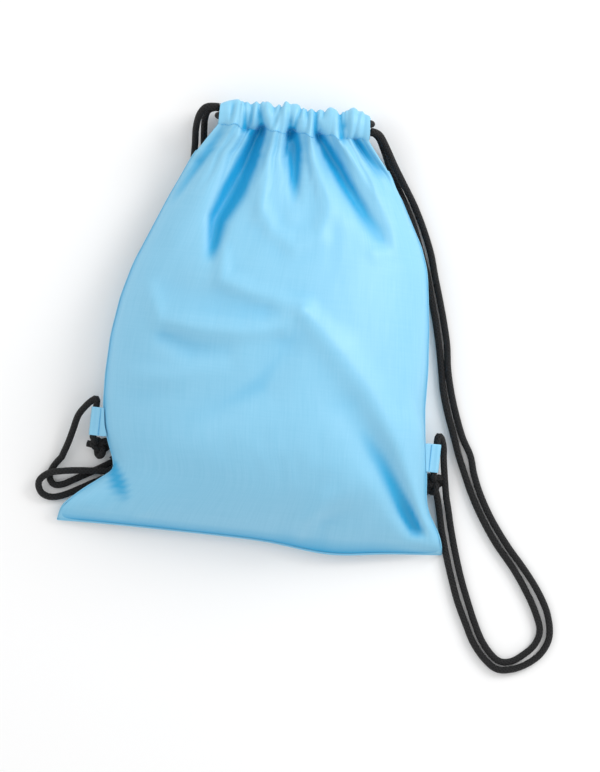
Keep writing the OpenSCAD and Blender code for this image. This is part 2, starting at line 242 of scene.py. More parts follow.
tab_turns = {  # from the end of a strand up beside its tab, right and left
    1: [(168, -135.5, 6), (165.6, -124, 9), (163.4, -112, 11), (161.6, -101, 12), (160.4, -91, 13.4),
        (157.6, -83, 16.8)],
    -1: [(-171, -135.5, 6.5), (-166.5, -122, 9), (-163.4, -110, 11), (-160.4, -98, 13.4), (-155, -89.5, 16.6),
         (-149, -83, 19.4)]}


def metres(points):
    return [tuple(c * mm for c in p) for p in points]


def lay_cord(name, points, before=None):
    """A tube through points in millimetres."""
    line = smooth_line(metres(points))
    return tube(name, line, before=before), line


strands = {}


def lay_strand(name, upper, lower, onward):
    """Two tubes on one smooth line, cut where the upper points end, so that the cut doesn't show."""
    whole = smooth_line(metres(upper + lower[1:]))
    end = Vector(upper[-1]) * mm
    cut = min(range(len(whole)), key=lambda i: (whole[i] - end).length)
    for part, line, before, after in (("upper", whole[:cut + 1], None, whole[cut + 1]),
                                      ("lower", whole[cut:], whole[cut - 1], Vector(onward) * mm)):
        strands[name + part] = (tube("strap_" + name + part, line, before=before, after=after), line)
        print(name + part, round(line_length(line), 3), "m")


lay_strand("right_front_", right_front_upper, right_front_lower, (155, -123, 9.6))
lay_strand("right_back_", right_back_upper, right_back_lower, tab_turns[1][1])
lay_strand("left_front_", left_front_upper, left_front_lower, tab_turns[-1][1])
lay_strand("left_back_", left_back_upper, left_back_lower, (-132, -124, 9.6))

# %% [markdown]
# The cords inside the channels
# Inside each channel both cords lie side by side. At the far end from its strap each cord turns upwards out of
# the back channel and into the front one. The turn is a half circle, about two and a half cords in radius.

# %% Thread the cords through the channels
turn_steps = 8
turn_x = 54


def channel_cord(name, z, side, y):
    points = [(-side * turn_x, y, z), (0, y, z), (side * half_run, y, z)]
    if z == z_back:
        points = [(-side * half_run, y, z), (0, y, z), (side * (turn_x - 4), y, z)]
        radius = (z_front - z_back) / 2
        for k in range(turn_steps + 1):
            w = math.pi * k / turn_steps - math.pi / 2
            points.append((side * (turn_x + radius * math.cos(w)), y, z + radius + radius * math.sin(w)))
    return lay_cord(name, points)


front_runs = [channel_cord("drawcord_right_front_run", z_front, 1, y_right_cord),
              channel_cord("drawcord_left_front_run", z_front, -1, y_left_cord)]
back_runs = [channel_cord("drawcord_right_back_run", z_back, -1, y_right_cord),
             channel_cord("drawcord_left_back_run", z_back, 1, y_left_cord)]
print("runs:", [round(line_length(line), 3) for piece, line in front_runs + back_runs])

# %% [markdown]
# The cloth bag
# The bag is one rectangle of cloth folded and sewn into a flat pouch, so it has no shape of its own: light
# stuffing pushes it out and the cords pull its top in. Drawing that surface by hand never looks slack enough.
# Here two grids are sewn along their sides and their bottom, set roughly in place, and a cloth simulation with
# a little air pressure finds the rest. The flat pouch is kept as the rest shape, so the cloth can't stretch.

# %% Sizes of the pouch
columns, rows = 116, 76
flat_half_w, flat_half_corner, flat_l = 160 * mm, 170 * mm, 400 * mm
y_bottom, y_stitch = -188.2 * mm, 167 * mm
slit_y = 148 * mm
seam_low, seam_high = 12 * mm, 28 * mm
mouth_half = 64 * mm
belly_half = 138 * mm
corner_half = 171 * mm


def lean_x(y):
    s = (y - y_bottom) / (120 * mm)
    return 14 * mm * math.sin(math.pi * s) ** 2 if 0 < s < 1 else 0.0


def half_w(y):
    upper = math.sin(math.pi / 2 * clamp((y_stitch - y) / (209 * mm)))
    flare = clamp((y_bottom + 48 * mm - y) / (48 * mm)) ** 1.1
    return mix(mouth_half, belly_half, upper) + (corner_half - belly_half) * flare


def pleat(s, side):
    """Height of the gathers from -1 to 1: rounded ridges with sharp valleys, uneven along the mouth."""
    turns = 6.3 * s + 0.30 * math.sin(5.2 * s + 0.7 + side) + 0.17 * math.sin(12.5 * s + 2.1 * side)
    size = 0.72 + 0.28 * math.sin(9.0 * s + 1.4 * side)
    return size * (2 * abs(math.sin(math.pi * turns)) ** 0.8 - 1)


def first_place(side, s, t):
    """Where a point of the panel starts: s runs across from -1 to 1 and t along from 0 to 1."""
    y = mix(y_bottom, y_stitch, t)
    seam = mix(seam_low, seam_high, math.sin(math.pi / 2 * clamp((y - y_bottom) / (80 * mm))))
    narrow = ease((y - 100 * mm) / (67 * mm))
    stitched = 4.5 * mm
    if side > 0:
        dome = math.sin(math.pi / 2 * clamp((y - y_bottom) / (95 * mm))) ** 0.75
        crown = (1 - abs(s) ** 2.2) ** 0.7
        z = seam + mix(64 * mm, 12 * mm, clamp((y + 10 * mm) / (176 * mm)) ** 1.5) * dome * crown
        z = mix(z, z_front * mm + stitched, narrow ** 2)
    else:
        z = mix(max(2 * mm, seam * clamp((abs(s) - 0.35) / 0.65) ** 1.4), z_back * mm - stitched, narrow ** 2)
        z = max(z, 2 * mm) if t > 0 else z
    rim = clamp((t - 0.72) / 0.28)
    z += side * 3.2 * mm * rim * rim * pleat(s, side) * (1 - abs(s) ** 8)
    x = lean_x(y) + half_w(y) * s
    if t == 0:
        z = mix(13 * mm, 4 * mm, abs(s) ** 2.5)
        y += (4 * mm if s > 0 else -2 * mm) * s ** 4 - 6 * mm * math.exp(-((x - 72 * mm) / (42 * mm)) ** 2)
    return Vector((x, y, z))


def flat_place(side, s, t):
    """Where the same point lies in the flat pouch."""
    half = mix(flat_half_w, flat_half_corner, clamp(1 - t * flat_l / (60 * mm)))
    return Vector((half * s, y_bottom + t * flat_l, 0.5 * mm * side))


# %% Sew two grids into a pouch
bm = bmesh.new()
side_layer = bm.faces.layers.int.new("side")
across = bm.verts.layers.float.new("across")
upward = bm.verts.layers.float.new("upward")
bmesh.ops.create_grid(bm, x_segments=columns, y_segments=rows, size=1)
back = bmesh.ops.duplicate(bm, geom=bm.verts[:] + bm.edges[:] + bm.faces[:])["geom"]
back_faces = [g for g in back if isinstance(g, bmesh.types.BMFace)]
bmesh.ops.reverse_faces(bm, faces=back_faces)
back_verts = {v for f in back_faces for v in f.verts}
for face in bm.faces:
    face[side_layer] = 1
for face in back_faces:
    face[side_layer] = -1
sewn = []
for v in bm.verts:
    side = -1 if v in back_verts else 1
    s, t = v.co.x, (v.co.y + 1) / 2
    v[across], v[upward] = s, t
    at_edge = abs(s) > 0.9999 and mix(y_bottom, y_stitch, t) < slit_y
    if at_edge or t < 0.0001:
        sewn.append(v)
        v.co = first_place(1, s, max(t, 0.0)) if t > 0.0001 else first_place(1, s, 0)
    else:
        v.co = first_place(side, s, t)
bmesh.ops.remove_doubles(bm, verts=sewn, dist=1e-6)
bm.verts.ensure_lookup_table()
side_of = {v.index: 0 for v in bm.verts}
for face in bm.faces:
    for v in face.verts:
        side_of[v.index] += face[side_layer]
print("pouch:", len(bm.verts), "points,", len(bm.faces), "faces")
pouch_mesh = bpy.data.meshes.new("pouch")
bm.to_mesh(pouch_mesh)
st = [(v[across], v[upward]) for v in bm.verts]
bm.free()
pouch = bpy.data.objects.new("pouch", pouch_mesh)
bpy.context.scene.collection.objects.link(pouch)

# %% [markdown]
# Settle the cloth
# The stitch row of the mouth and the bottom seam are pinned, since the cords and the stuffing hold them. The
# surface and the cords under the bag are obstacles, so the back panel lies over them.

# %% Simulate the cloth
settle_frames = 46
air = 2.0


def settle():
    pouch.shape_key_add(name="Basis")
    key = pouch.shape_key_add(name="Flat")
    for i, point in enumerate(key.data):
        side = (side_of[i] > 0) - (side_of[i] < 0)
        point.co = flat_place(side, *st[i])
    key.value = 0
    pins = pouch.vertex_groups.new(name="pins")
    pins.add([i for i, (s, t) in enumerate(st) if t > 0.985 or t < 0.0001], 1.0, "REPLACE")
    soft = pouch.vertex_groups.new(name="air")
    for i, (s, t) in enumerate(st):
        soft.add([i], mix(1.0, 0.12, ease((t - 0.45) / 0.4)), "REPLACE")
    bm = bmesh.new()
    bmesh.ops.create_grid(bm, x_segments=1, y_segments=1, size=0.5)
    ground = link_mesh("ground", bm)
    helpers = [ground] + [tube("under_" + n, line[::4] + [line[-1]], sides=6) for n, (p, line) in strands.items()
                          if n.startswith("left") and n.endswith("upper")]
    for o in helpers:
        o.modifiers.new("obstacle", "COLLISION")
        o.collision.thickness_outer = 0.0008
        o.collision.cloth_friction = 5
    cloth = pouch.modifiers.new("Cloth", "CLOTH")
    c = cloth.settings
    c.quality = 6
    c.mass = 0.15 / len(st)
    c.tension_stiffness = c.compression_stiffness = 9
    c.shear_stiffness = 4
    c.bending_stiffness = 0.12
    c.tension_damping = c.compression_damping = c.shear_damping = 5
    c.bending_damping = 0.5
    c.use_pressure = True
    c.uniform_pressure_force = air
    c.vertex_group_pressure = "air"
    c.vertex_group_mass = "pins"
    c.rest_shape_key = key
    cloth.collision_settings.distance_min = 0.0008
    cloth.collision_settings.use_self_collision = False
    cloth.point_cache.frame_start, cloth.point_cache.frame_end = 1, settle_frames + 1
    scene = bpy.context.scene
    for f in range(1, settle_frames + 1):
        scene.frame_set(f)
    shape = pouch.evaluated_get(bpy.context.evaluated_depsgraph_get()).to_mesh()
    found = [v.co.copy() for v in shape.vertices]
    scene.frame_set(1)
    for o in helpers:
        bpy.data.objects.remove(o)
    return found


points = settle()
bpy.data.objects.remove(pouch)

# %% [markdown]
# Bring the sides to the bag's outline
# The stuffing in this bag leans to the right near the mouth and its left ear is pulled in by the strap. The
# air knows nothing about that, so each side of the settled cloth is moved to the outline, and everything
# between the two sides moves in proportion.

# %% Match the outline
outline = [  # distance along the bag, left edge, right edge, in millimetres
    (-190, -170, 169), (-178, -166, 168), (-168, -157, 164.5), (-160, -148, 160), (-150, -135, 154),
    (-140, -124, 150.5), (-130, -126, 149), (-118, -131, 148), (-104, -136, 146), (-85, -139, 143), (-60, -140, 140),
    (-25, -139, 139), (10, -134, 136), (40, -126, 132), (60, -118, 129), (80, -110, 122), (100, -102, 111),
    (120, -93, 100), (140, -84, 88), (158, -72, 73), (168, -65, 65)]


def outline_at(y, column):
    for a, b in zip(outline, outline[1:]):
        if y <= b[0]:
            return mix(a[column], b[column], clamp((y - a[0]) / (b[0] - a[0])))
    return outline[-1][column]


spans = {}
for i, (s, t) in enumerate(st):
    row = round(t * rows)
    low, high, at, count = spans.get(row, (1.0, -1.0, 0.0, 0))
    side_point = abs(s) > 0.999
    spans[row] = (min(low, points[i].x), max(high, points[i].x),
                  at + (points[i].y if side_point else 0), count + side_point)
for p, (s, t) in zip(points, st):
    low, high, at, count = spans[round(t * rows)]
    y = at / count / mm
    p.x = mix(outline_at(y, 1), outline_at(y, 2), (p.x - low) / (high - low)) * mm
print("settled height", round(max(p.z for p in points) / mm, 1), "mm, half widths",
      round(min(p.x for p in points) / mm, 1), round(max(p.x for p in points) / mm, 1))

# %% [markdown]
# Press in the folds
# The gathers send a few deep folds down the front, and the stuffing leaves dents lower down. Each one is a
# stroke: a short path with a depth and a width at every point, in millimetres. A point of the cloth near the
# path sinks by that depth, less the further away it is. A negative depth raises a ridge.
# Folds and dents that sink deep enough are also coloured a deeper blue: painted shade.

# %% Folds and dents of the front panel
folds = [  # along the bag from the mouth: valleys have a depth above 0, ridges below 0
    [(-25, 182, 6, 4), (-29, 163, 12, 7), (-37, 136, 15, 9), (-46, 112, 15, 10), (-57, 85, 12, 8), (-58, 62, 8, 6),
     (-59, 44, 0, 6)],
    [(-2, 179, 7, 5), (2, 153, 12, 7), (5, 131, 9, 5), (7, 112, 3, 5), (7, 100, 0, 5)],
    [(19, 174, 7, 4), (34, 150, 11, 6), (50, 127, 10, 6), (70, 101, 6, 7), (94, 74, 2, 9), (105, 64, 0, 9)],
    [(41, 182, 6, 4), (58, 163, 8, 5), (76, 144, 5, 5), (92, 132, 0, 5)],
    [(-58, 168, 4, 4), (-76, 136, 6, 5), (-92, 107, 4, 5), (-104, 86, 0, 6)],
    [(-41, 177, 6, 4), (-37, 164, 5, 4), (-31, 154, 0, 4)],
    [(-12, 180, -4, 5), (-19, 150, -6, 8), (-22, 120, -5, 9), (-21, 92, -3, 9)],
    [(-20, 100, -2, 6), (-9, 80, -3, 7), (12, 68, -3, 8), (32, 80, -3, 8), (36, 100, -2, 7)],
    [(10, 180, -4, 5), (17, 150, -6, 7), (31, 121, -5, 8), (46, 96, -2, 10)],
    [(31, 182, -4, 5), (51, 154, -5, 6), (73, 130, -5, 7), (96, 97, -4, 9), (99, 75, -3, 8), (82, 70, -2, 7)],
    [(-50, 173, -4, 6), (-60, 137, -4, 10), (-75, 105, -4, 12), (-92, 68, -2, 14)],
]
dents = [  # where the stuffing leaves the cloth slack
    [(-49, 55, -3, 6), (-47, 33, -4, 7), (-18, 24, -3, 7), (22, 16, -2, 7)],
    [(-110, 18, -3, 8), (-97, -8, -4, 8), (-63, -10, -4, 8), (-23, -9, -4, 8), (9, -2, -4, 8), (26, 14, -3, 8)],
    [(-88, 20, 3, 16), (-47, 11, 4, 16), (-8, 9, 3, 12)],
    [(-91, -21, 4, 8), (-65, -30, 4, 10), (-38, -30, 2, 10)],
    [(-117, -58, -3, 9), (-84, -56, -3, 9), (-46, -42, -1, 12)],
    [(28, 11, -4, 9), (61, -20, -6, 14), (91, -52, -6, 14), (120, -93, -6, 10), (140, -130, -5, 7), (152, -160, -3, 6)],
    [(13, -21, 5, 16), (-5, -54, 6, 20), (-42, -80, 5, 20), (-82, -110, 2, 18)],
    [(75, -67, 4, 18), (106, -108, 8, 13), (127, -140, 11, 10), (142, -165, 9, 8)],
    [(45, -187, -4, 6), (48, -167, -5, 7), (61, -148, -4, 9), (91, -131, -1, 14)],
    [(64, -185, 5, 7), (65, -169, 4, 8), (81, -159, 2, 10)],
    [(32, -188, 4, 7), (26, -174, 2, 10)],
    [(-124, -138, 11, 8), (-117, -152, 11, 12), (-106, -170, 5, 10)],
    [(134, -148, 4, 7), (145, -162, 7, 5), (155, -171, 4, 4)],
    [(-116, -125, -3, 5), (-105, -148, -5, 6), (-94, -176, -5, 6), (-109, -184, -3, 6), (-145, -177, -2, 8)],
    [(-161, -192, 2, 6), (-135, -188, 4, 6), (-108, -192, 4, 6), (-82, -195, 0, 8)],
]

creases = [  # short gathers of the channel, from its top edge down
    [(-55, 186, 3, 2), (-55, 172, 3, 2)],
    [(-44, 191, 4, 2), (-43, 166, 6, 2.5)],
    [(-38.5, 193, 3, 1.6), (-38, 172, 4, 2)],
    [(-34, 194, 3, 1.6), (-27.5, 166, 7, 3)],
    [(-26, 196, 3, 1.5), (-28, 182, 1, 2)],
    [(-19, 197, 5, 1.6), (-19, 182, 2, 2)],
    [(-12, 195, 3, 1.8), (-17, 174, 5, 2)],
    [(-4, 181, 2, 2), (-3, 165, 8, 3)],
    [(5, 196, 4, 1.6), (2, 178, 3, 2), (1, 170, 5, 2)],
    [(11, 193, 4, 1.8), (11, 173, 3, 2)],
    [(16, 197, 5, 1.8), (18, 180, 5, 2), (20.5, 164, 7, 3)],
    [(27.5, 198, 6, 1.8), (24, 184, 2, 2)],
    [(35.5, 198, 6, 1.8), (40, 179, 5, 2), (43.5, 164, 7, 2.5)],
    [(41.5, 193, 3, 1.6), (44, 176, 4, 2)],
    [(-4, 194, -3, 5), (-12, 180, -4, 6), (-20, 164, -3, 6)],
    [(-45, 183, -3, 5), (-54, 166, -3, 6)],
    [(-30, 194, -3, 5), (-24, 182, -2, 4)],
    [(8, 182, -2, 4), (15, 166, -3, 4)],
    [(31, 195, -4, 3), (34, 170, -2, 5)],
    [(50, 189, -4, 7), (54, 172, -2, 6)],
]

back_folds = [  # gathers that run down the back panel from its stitch row, pressed into the bag
    [(-52, 168, 7, 4), (-62, 130, 11, 6), (-76, 90, 9, 7), (-88, 45, 0, 8)],
    [(-34, 168, 7, 4), (-40, 130, 12.5, 6), (-50, 85, 10, 7), (-56, 35, 0, 8)],
    [(-13, 168, 7, 4), (-14, 130, 12.5, 6), (-17, 85, 10, 7), (-18, 30, 0, 8)],
    [(10, 168, 7, 4), (14, 130, 12.5, 6), (17, 85, 10, 7), (20, 35, 0, 8)],
    [(31, 168, 7, 4), (40, 130, 12.5, 6), (50, 85, 10, 7), (58, 30, 0, 8)],
    [(51, 168, 7, 4), (63, 130, 11, 6), (80, 90, 9, 7), (93, 45, 0, 8)],
]


def sink(x, y, strokes):
    """How far a point at x and y, in millimetres, is pressed in by the strokes."""
    total = 0.0
    for path in strokes:
        best = None
        for a, b in zip(path, path[1:]):
            dx, dy = b[0] - a[0], b[1] - a[1]
            k = clamp(((x - a[0]) * dx + (y - a[1]) * dy) / (dx * dx + dy * dy))
            away = math.hypot(x - a[0] - k * dx, y - a[1] - k * dy)
            depth, width = mix(a[2], b[2], k), mix(a[3], b[3], k)
            if best is None or away < best[0]:
                best = (away, depth, width)
        total += best[1] * math.exp(-(best[0] / best[2]) ** 2)
    return total


# %% [markdown]
# The gathered channels
# The top of each panel is folded over the cords and stitched down, so it is a tube of cloth bunched into
# ruffles. It carries on from the stitch row: the row is extruded ring by ring round the cords, and each ring
# swells and pinches with the gathers. The stitching pinches them hardest, the free top edge least.

# %% Split the pouch and add the channels
channel_rings = 18
channel_long, channel_tall = 11 * mm, 7.5 * mm
# Painted shade: a point is coloured a deeper blue as it lies below its surroundings smoothed over 10 passes, in full at
# 9 mm below them.
painted_shade_reach, painted_shade_depth = 10, 9 * mm
ear, ear_reach, ear_smoothing = Vector((-115, -150)) * mm, 32 * mm, 8
rise_share = 0.25  # the part of the ring that climbs from the stitch row to the top of the channel
smoothing = 6
ruffle = 1.6 * mm
# Painted shade in folds and dents starts at the first depth and reaches full over the second.
fold_shows, fold_full, dent_shows, dent_full = 1, 6, 5, 5  # how deep, in millimetres, before the colour deepens
crease_share, deepest = 0.85, 4.2 * mm


def panel(name, side, z_tube):
    bm = bmesh.new()
    across = bm.verts.layers.float.new("across")
    painted_shade = bm.verts.layers.float.new("painted_shade")
    uv = bm.loops.layers.uv.new("UVMap")
    bmesh.ops.create_grid(bm, x_segments=columns, y_segments=rows, size=1)
    found = {}
    for i, (s, t) in enumerate(st):
        if side_of[i] == 0 or (side_of[i] > 0) == (side > 0):
            found[(round(s * 1000), round(t * 1000))] = points[i]
    along = {}
    for v in bm.verts:
        s, t = v.co.x, (v.co.y + 1) / 2
        v[across] = s
        along[v] = t
        p = found[(round(s * 1000), round(t * 1000))].copy()
        wander = 1.6 * math.sin(15 * s + 1.3) + 1.1 * math.sin(34 * s + 2.4 * side)
        v.co = p + Vector((0, wander * mm * ease((t - 0.88) / 0.12) * (1 - s ** 8), 0))
    for n in range(smoothing):
        slack = [v for v in bm.verts if 0.001 < along[v] < 0.84 and abs(v[across]) < 0.999]
        bmesh.ops.smooth_vert(bm, verts=slack, factor=0.5, use_axis_x=True, use_axis_y=True, use_axis_z=True)
    pressed = {}
    for v in bm.verts:
        at, s = (v.co.x / mm, v.co.y / mm), v[across]
        held = clamp(along[v] * 16) * (1 - abs(s) ** 10)
        fold = sink(*at, folds) + sink(*at, creases) if side > 0 else 0.0
        dent = sink(*at, dents) if side > 0 else 0.0
        # Painted shade: the deeper a fold or a dent, the darker its colour.
        pressed[v] = clamp((fold - fold_shows) / fold_full) + clamp((dent - dent_shows) / dent_full)
        lift = sink(*at, back_folds) if side < 0 else 0.0
        v.co.z = max(v.co.z + (lift - fold - dent) * held * mm, 2 * mm)
    near_ear = [v for v in bm.verts if (v.co.xy - ear).length < ear_reach
                and along[v] > 0.001 and abs(v[across]) < 0.999]
    for n in range(ear_smoothing):
        bmesh.ops.smooth_vert(bm, verts=near_ear, factor=0.5, use_axis_x=True, use_axis_y=True, use_axis_z=True)
    row = sorted((v for v in bm.verts if along[v] > 0.999), key=lambda v: v[across])
    start = [v.co.copy() for v in row]
    edges = [e for e in bm.edges if e.verts[0] in row and e.verts[1] in row]
    order = {v: k for k, v in enumerate(row)}
    for ring in range(1, channel_rings + 1):
        made = bmesh.ops.extrude_edge_only(bm, edges=edges)["geom"]
        fresh = [g for g in made if isinstance(g, bmesh.types.BMVert)]
        edges = [g for g in made if isinstance(g, bmesh.types.BMEdge)
                 and g.verts[0] in fresh and g.verts[1] in fresh]
        before = order
        order = {v: next(before[e.other_vert(v)] for e in v.link_edges if e.other_vert(v) in before) for v in fresh}
        turn = ring / channel_rings
        w = -math.pi / 2 + side * 2 * math.pi * turn
        for v, k in order.items():
            s = 2 * k / columns - 1
            v[across] = s
            along[v] = 1 + turn * 0.14
            end = 1 - abs(s) ** 14
            top = math.sin(w)
            crease = sink(start[k].x / mm, y_channel + channel_long / mm * top, creases)
            gather = pleat(s, side) * ruffle * (0.55 + 0.45 * math.sin(math.pi * turn))
            gather = max(gather - crease * crease_share * mm, -deepest) * end
            # Painted shade: a crease of the channel is coloured darker by its depth.
            pressed[v] = clamp((crease - 1) / 4)
            corner = 0.45 * clamp((-0.76 - s) / 0.24) ** 1.6 + 0.15 * clamp((s - 0.88) / 0.12) ** 2
            y = y_channel * mm + (channel_long * (1 - corner * clamp(top)) + gather) * top
            z = z_tube * mm + (channel_tall + gather * 0.9) * (side if turn < rise_share else math.cos(w))
            spread = mix(1, channel_half / mouth_half, ease(turn * 4))
            x = start[k].x * spread + 1.2 * mm * math.sin(23 * s + side) * top
            tube_point = Vector((x, y, z))
            v.co = start[k].lerp(tube_point, ease(turn * 4.5)) if turn < rise_share else tube_point
            if turn < 0.45 and abs(v.co.y / mm - y_channel) < 9:
                v.co.z = z_tube * mm + side * max(side * (v.co.z - z_tube * mm), 3.9 * mm)
    # Painted shade: each point gets the deep blue by how far it lies below the smoothed surface, and by its folds,
    # dents and creases.
    around = {v: v.co.copy() for v in bm.verts}
    for n in range(painted_shade_reach):
        around = {v: sum((around[e.other_vert(v)] for e in v.link_edges), around[v]) / (len(v.link_edges) + 1)
                  for v in bm.verts}
    for v in bm.verts:
        v[painted_shade] = clamp(pressed.get(v, 0.0) + max(0.0, side * (around[v].z - v.co.z)) / painted_shade_depth)
    for face in bm.faces:
        for loop in face.loops:
            half = mix(flat_half_w, flat_half_corner, clamp(1 - along[loop.vert] * flat_l / (60 * mm)))
            loop[uv].uv = (half * loop.vert[across], flat_l * along[loop.vert])
    if side < 0:
        bmesh.ops.reverse_faces(bm, faces=bm.faces)
    return link_mesh(name, bm), start


channel_half = 64 * mm
front_cloth, front_row = panel("front_cloth", 1, z_front)
back_cloth, back_row = panel("back_cloth", -1, z_back)
for cloth in (front_cloth, back_cloth):
    fold = cloth.modifiers.new("Thickness", "SOLIDIFY")
    fold.thickness, fold.offset = 0.5 * mm, -1
    smooth = cloth.modifiers.new("Smooth", "SUBSURF")
    smooth.levels = smooth.render_levels = 1
print("front panel", len(front_cloth.data.vertices), "points")

# %% [markdown]
# The sewn edges
# The side seams and the bottom seam are the folded edges of both panels, turned in and stitched: narrow firm
# cords of cloth. Each is a slim tube along the line where the two grids were sewn together.

# %% Follow the sewn edges
seam_radius = 0.6 * mm


def edge_line(chosen, key):
    return [points[i] for i in sorted(chosen, key=key)]


left_edge = edge_line([i for i, (s, t) in enumerate(st) if s < -0.999 and side_of[i] == 0], lambda i: st[i][1])
right_edge = edge_line([i for i, (s, t) in enumerate(st) if s > 0.999 and side_of[i] == 0], lambda i: st[i][1])
bottom_edge = edge_line([i for i, (s, t) in enumerate(st) if t < 0.001], lambda i: st[i][0])
left_seam = tube("side_seam_left", smooth_line(left_edge[::2] + left_edge[-1:], 3 * mm), seam_radius, 8)
right_seam = tube("side_seam_right", smooth_line(right_edge[::2] + right_edge[-1:], 3 * mm), seam_radius, 8)
bottom_hem = tube("bottom_seam_ridge", smooth_line(bottom_edge[::3] + bottom_edge[-1:], 3 * mm), 1.0 * mm, 8)
print("side seams", round(line_length([p for p in left_edge]), 3), round(line_length(right_edge), 3), "m")

# %% [markdown]
# The stitching of the channels
# A sewing machine closes each channel with a straight row of lock stitches. Before the cords are pulled the
# row is as long as the panel is wide; gathered, the stitches bunch up with the cloth. Each stitch is a short
# rounded bar that lies just on the cloth.

# %% Stitch the channels
stitch_l, stitch_gap, thread_r = 1.9 * mm, 0.7 * mm, 0.35 * mm


def stitch_row(name, line, away, length=stitch_l, gap=stitch_gap):
    bm = bmesh.new()
    fine = smooth_line(line, 0.5 * mm)
    at, start, count = 0.0, fine[0], 0
    for a, b in zip(fine, fine[1:]):
        at += (b - a).length
        if at >= length + gap:
            middle, along = (start + b) / 2 + away, (b - start)
            turn = along.to_track_quat("Z", "Y").to_matrix().to_4x4()
            turn.translation = middle
            bmesh.ops.create_cone(bm, cap_ends=True, segments=8, radius1=thread_r, radius2=thread_r,
                                  depth=length, matrix=turn)
            at, start, count = 0.0, b, count + 1
    piece = link_mesh(name, bm)
    soft = piece.modifiers.new("Round", "BEVEL")
    soft.width, soft.segments, soft.limit_method = 0.12 * mm, 2, "ANGLE"
    print(name, count, "stitches")
    return piece


front_thread = stitch_row("front_channel_thread", front_row[2:-2], Vector((0, -0.2 * mm, 0.35 * mm)))
back_thread = stitch_row("back_channel_thread", back_row[2:-2], Vector((0, -0.2 * mm, -0.35 * mm)))

# %% [markdown]
# The loop tabs
# A strip of the bag's cloth is folded round the strap cord and its two ends are caught in the side seam. Here
# an open loop, seen from the end of the tab, is swept along the seam and given the cloth's thickness.

# %% Fold the loop tabs
tab_droop = math.radians(50)
tab_web, tunnel_r = 6.6 * mm, 3.75 * mm
tab_l = 25 * mm
hinges = {j["name"]: j for j in frame["record"]["behaviour"]["joints"]}
hinge = {s: Vector(hinges[n + "_tab_swing"]["pos_m"]) for s, n in ((-1, "left"), (1, "right"))}


def tab_point(side, reach, lift, along):
    """A point of the tab: reach from the hinge line, lift off the middle of the tab, along the seam."""
    c, s = math.cos(tab_droop), math.sin(tab_droop)
    return hinge[side] + Vector((side * (reach * c + lift * s), along, -reach * s + lift * c))


def loop_tab(name, side):
    outline_of_loop = [(-1.2 * mm, 0.45 * mm), (2.5 * mm, 0.45 * mm), (4.4 * mm, 0.6 * mm)]
    centre = tab_web + 3.3 * mm
    for k in range(15):
        w = math.radians(150 - 300 * k / 14)
        outline_of_loop.append((centre + tunnel_r * math.cos(w), tunnel_r * math.sin(w)))
    outline_of_loop += [(4.4 * mm, -0.6 * mm), (2.5 * mm, -0.45 * mm), (-1.2 * mm, -0.45 * mm)]
    bm = bmesh.new()
    uv = bm.loops.layers.uv.new("UVMap")
    steps = 10
    line = [bm.verts.new(tab_point(side, r, l, -tab_l / 2)) for r, l in outline_of_loop]
    edges = [bm.edges.new(pair) for pair in zip(line, line[1:])]
    order = {v: k for k, v in enumerate(line)}
    place = {v: (k, 0) for v, k in order.items()}
    for n in range(1, steps + 1):
        made = bmesh.ops.extrude_edge_only(bm, edges=edges)["geom"]
        fresh = [g for g in made if isinstance(g, bmesh.types.BMVert)]
        edges = [g for g in made if isinstance(g, bmesh.types.BMEdge)
                 and g.verts[0] in fresh and g.verts[1] in fresh]
        before = order
        order = {v: next(before[e.other_vert(v)] for e in v.link_edges if e.other_vert(v) in before) for v in fresh}
        for v, k in order.items():
            r, l = outline_of_loop[k]
            slack = 0.25 * mm * math.sin(2.6 * n + k * 0.4) * (r / centre)
            v.co = tab_point(side, r + slack, l, mix(-tab_l / 2, tab_l / 2, n / steps))
            place[v] = (k, n)
    for v, (k, n) in place.items():
        if k in (0, len(outline_of_loop) - 1):
            v.co.x = side * (min(abs(v.co.x), side * outline_at(v.co.y / mm, 1 if side < 0 else 2) * mm) - 0.5 * mm)
    for face in bm.faces:
        for loop in face.loops:
            k, n = place[loop.vert]
            loop[uv].uv = (k * 1.4 * mm, n / steps * tab_l)
    bmesh.ops.recalc_face_normals(bm, faces=bm.faces)
    piece = link_mesh(name, bm)
    fold = piece.modifiers.new("Thickness", "SOLIDIFY")
    fold.thickness, fold.offset = 0.6 * mm, 0
    soft = piece.modifiers.new("Smooth", "SUBSURF")
    soft.levels = soft.render_levels = 2
    return piece


left_tab, right_tab = loop_tab("loop_tab_left", -1), loop_tab("loop_tab_right", 1)
tacks = []
for side, name in ((-1, "left"), (1, "right")):
    line = [tab_point(side, 2.1 * mm + 0.35 * mm * (-1) ** k, 0.85 * mm, -tab_l / 2 + (0.8 + 0.8 * k) * mm)
            for k in range(30)]
    tacks.append(tube("bartack_" + name, smooth_line(line, 0.3 * mm), 0.3 * mm, 6))
print("tab loops", [round(v / mm, 1) for v in left_tab.dimensions])

# %% [markdown]
# The strap ends
# Both strands of a strap come up beside the tab as one thick pair, go over its top and down through its loop,
# and are tied in an overhand knot below it. The cut tails stick out of the knot. The knot is a trefoil of the
# same cord drawn tight, which is the shape an overhand knot takes.

